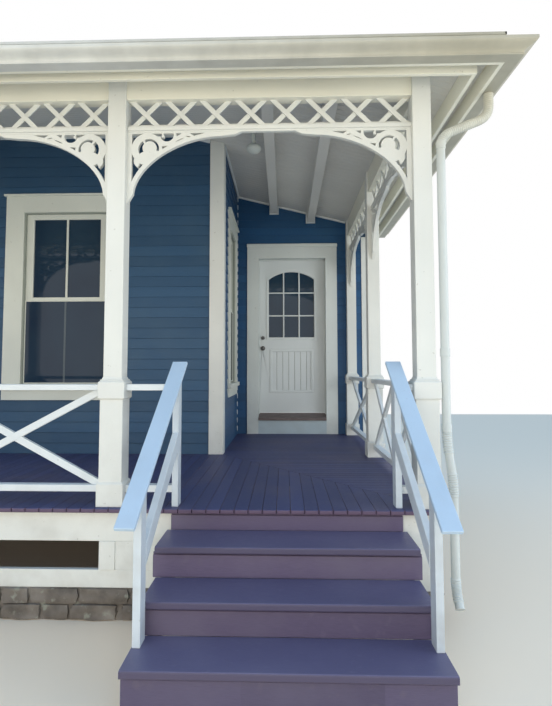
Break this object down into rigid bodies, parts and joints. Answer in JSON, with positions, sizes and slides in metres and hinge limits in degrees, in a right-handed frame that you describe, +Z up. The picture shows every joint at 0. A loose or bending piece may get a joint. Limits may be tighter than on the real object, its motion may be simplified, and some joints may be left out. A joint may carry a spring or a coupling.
{
  "type": "front porch",
  "caption": "Wraparound front porch with entry steps, lattice frieze with scroll brackets, crossed balustrades, hipped roof and half-glazed door.",
  "frame": {"origin": "middle of the whole part's box, on the ground", "axes": "+X to the right along the front, +Y into the house, +Z up"},
  "size_m": [5.413, 4.6994, 4.3],
  "materials": {
    "paint_white": "satin cream-white paint",
    "siding_navy": "satin navy paint",
    "deck_maroon": "satin maroon paint",
    "ceiling_grey": "matt grey paint",
    "shingles": "weathered shingles",
    "gutter_metal": "satin cream enamel",
    "glass": "clear",
    "hardware": "dull aged brass",
    "lamp_white": "pale enamel, a little chalky",
    "stone": "rough field stone",
    "bare_wood": "worn bare wood"
  },
  "bodies": {
    "house": {"stone_footing": "stone", "skirt_boards": "paint_white", "skirt_stiles": "paint_white", "deck": "deck_maroon", "stair_stringers": "paint_white", "stair_risers": "deck_maroon", "stair_treads": "deck_maroon", "stair_newels": "paint_white", "stair_handrails": "paint_white", "front_posts": "paint_white", "side_posts": "paint_white", "frieze_beams": "paint_white", "lattice_front": "paint_white", "lattice_sides": "paint_white", "arch_brackets_front": "paint_white", "arch_brackets_sides": "paint_white", "balustrade_rails": "paint_white", "balustrade_stiles": "paint_white", "cross_braces": "paint_white", "cross_brace_halves": "paint_white", "ceiling": "ceiling_grey", "ceiling_beams": "ceiling_grey", "roof": "shingles", "fascia": "paint_white", "eave_trim": "paint_white", "gutter": "gutter_metal", "downspout": "gutter_metal", "porch_lamp": "lamp_white", "front_wall_piers": "siding_navy", "front_wall_over_under": "siding_navy", "side_wall_piers": "siding_navy", "side_wall_over_under": "siding_navy", "back_wall_piers": "siding_navy", "back_wall_over_under": "siding_navy", "corner_boards": "paint_white", "window_casings": "paint_white", "window_sashes": "paint_white", "window_glass": "glass", "door_casing": "paint_white", "door_sill": "paint_white", "threshold": "bare_wood", "door_hinges": "hardware"},
    "door": {"door_leaf": "paint_white", "door_glass": "glass", "door_fittings": "hardware"},
    "knob": {"door_knob": "hardware"}
  },
  "joints": [
    {"name": "door_swing", "type": "hinge", "parent": "house", "child": "door", "pos_m": [1.859, 2.30328, 0.94], "axis": [0, 0, -1], "range_deg": [0, 110]},
    {"name": "knob_turn", "type": "hinge", "parent": "door", "child": "knob", "pos_m": [1.024, 2.27428, 1.797], "axis": [0, 1, 0], "range_deg": [-60, 60], "stiffness_Nm_per_rad": 0.5}
  ]
}
